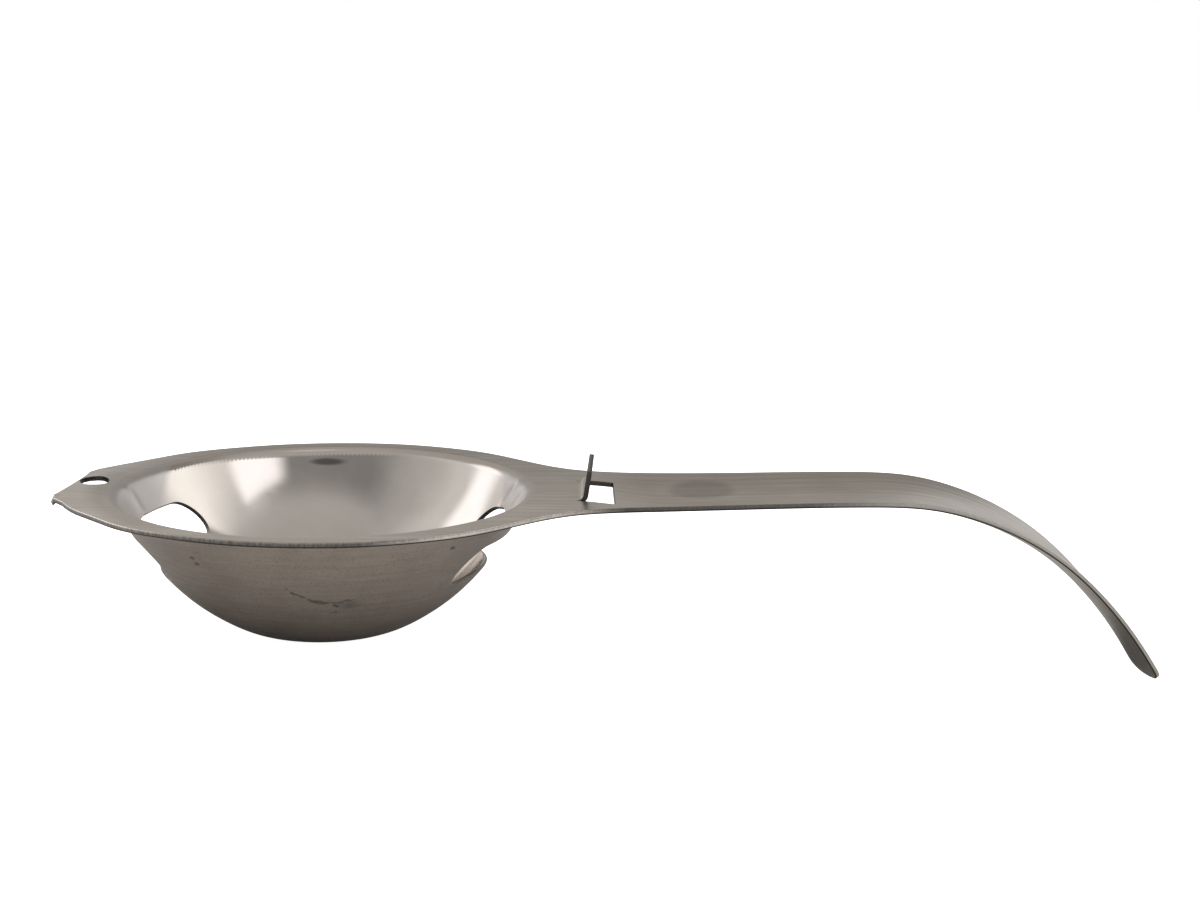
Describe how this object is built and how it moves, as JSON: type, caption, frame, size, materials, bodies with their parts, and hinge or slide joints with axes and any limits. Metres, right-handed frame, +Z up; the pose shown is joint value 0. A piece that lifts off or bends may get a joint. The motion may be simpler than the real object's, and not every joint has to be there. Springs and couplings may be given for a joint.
{
  "type": "strainer spoon",
  "caption": "Spoon-shaped strainer pressed from sheet steel: solid round bowl with wide drain slots, flat rim, horned front lip, standing rest tab and a dished handle that curves down.",
  "frame": {"origin": "middle of the bounding box's base, on the surface that the part rests on", "axes": "+X along the part from the front lip to the handle's end, +Y to the side, +Z up from the surface"},
  "size_m": [0.198, 0.0824, 0.0332],
  "materials": {
    "satin_steel": "satin stainless steel, fine grain along the handle, burnished and fractured cut edge",
    "drawn_steel": "drawn stainless steel, bright polished inside, dull satin outside"
  },
  "bodies": {
    "root": {"strainer_bowl": "drawn_steel", "left_rim": "satin_steel", "right_rim": "satin_steel", "front_lip": "satin_steel", "handle_root": "satin_steel", "handle_grip": "satin_steel", "rest_tab": "satin_steel"}
  },
  "joints": []
}
